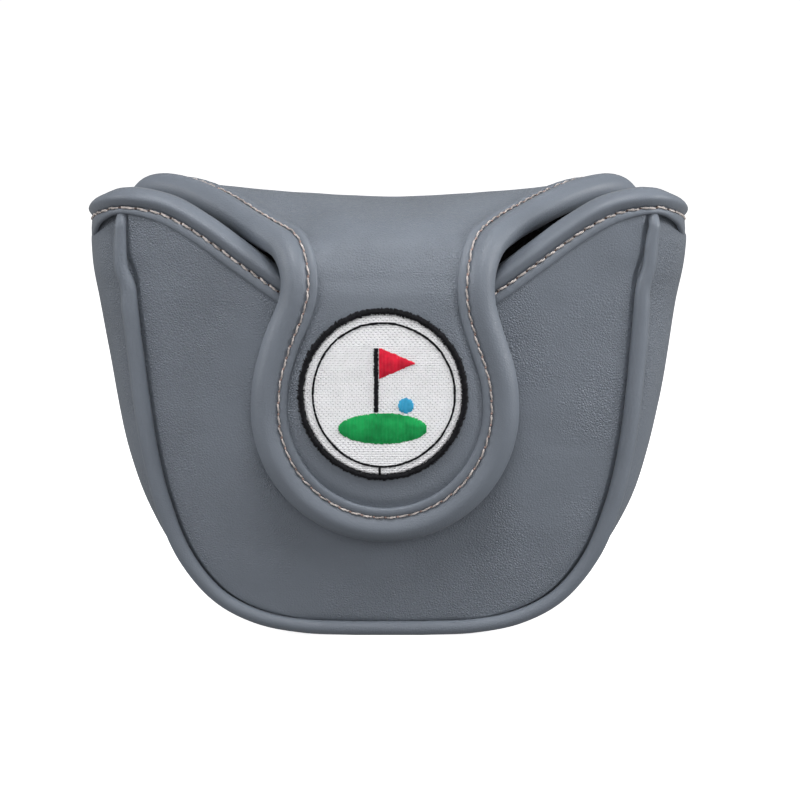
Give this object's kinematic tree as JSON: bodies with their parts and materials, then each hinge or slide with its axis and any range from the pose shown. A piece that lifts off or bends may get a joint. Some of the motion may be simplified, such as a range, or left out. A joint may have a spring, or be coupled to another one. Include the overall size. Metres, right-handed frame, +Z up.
{
  "type": "putter head cover",
  "caption": "Padded golf putter head cover for a wide mallet head: a deep pouch with a folding flap that closes by magnets.",
  "frame": {"origin": "on the floor, in the middle of the cover's width and depth", "axes": "+X to the right of someone facing the flap, +Y from the flap towards the back panel, +Z up from the pouch's floor to its mouth"},
  "size_m": [0.138, 0.0556, 0.1049],
  "materials": {
    "leather": "slate grey synthetic leather with a fine pebble grain, soft satin",
    "foam": "soft dark padding",
    "plush": "short black plush",
    "cord": "twisted filler cord",
    "thread": "taupe sewing thread",
    "magnet": "nickel plated",
    "twill": "white embroidered fill",
    "black_thread": "black embroidery thread",
    "green_thread": "green embroidery thread",
    "red_thread": "red embroidery thread",
    "blue_thread": "light blue embroidery thread"
  },
  "bodies": {
    "pouch": {"front_panel": "leather", "front_foam": "foam", "front_lining": "plush", "front_magnet": "magnet", "back_panel": "leather", "back_foam": "foam", "back_lining": "plush", "gusset": "leather", "gusset_foam": "foam", "gusset_lining": "plush", "front_piping": "leather", "front_piping_cord": "cord", "back_piping": "leather", "back_piping_cord": "cord", "rim_binding": "leather", "rim_cord": "cord", "rim_stitching": "thread"},
    "bridge": {"bridge_leather": "leather", "bridge_foam": "foam", "bridge_lining": "plush", "bridge_binding_left": "leather", "bridge_cord_left": "cord", "bridge_stitching_left": "thread", "bridge_binding_right": "leather", "bridge_cord_right": "cord", "bridge_stitching_right": "thread"},
    "tongue": {"tongue_leather": "leather", "tongue_foam": "foam", "tongue_lining": "plush", "tongue_binding": "leather", "tongue_cord": "cord", "tongue_stitching": "thread", "tongue_magnet": "magnet", "patch_twill": "twill", "patch_border": "black_thread", "patch_ring": "black_thread", "patch_green": "green_thread", "patch_pole": "black_thread", "patch_pennant": "red_thread", "patch_ball": "blue_thread"}
  },
  "joints": [
    {"name": "flap_lift", "type": "hinge", "parent": "pouch", "child": "bridge", "pos_m": [0, 0.0284, 0.0925], "axis": [-1, 0, 0], "range_deg": [0, 150]},
    {"name": "flap_peel", "type": "hinge", "parent": "bridge", "child": "tongue", "pos_m": [0, -0.0236, 0.0911], "axis": [-1, 0, 0], "range_deg": [0, 80]}
  ]
}
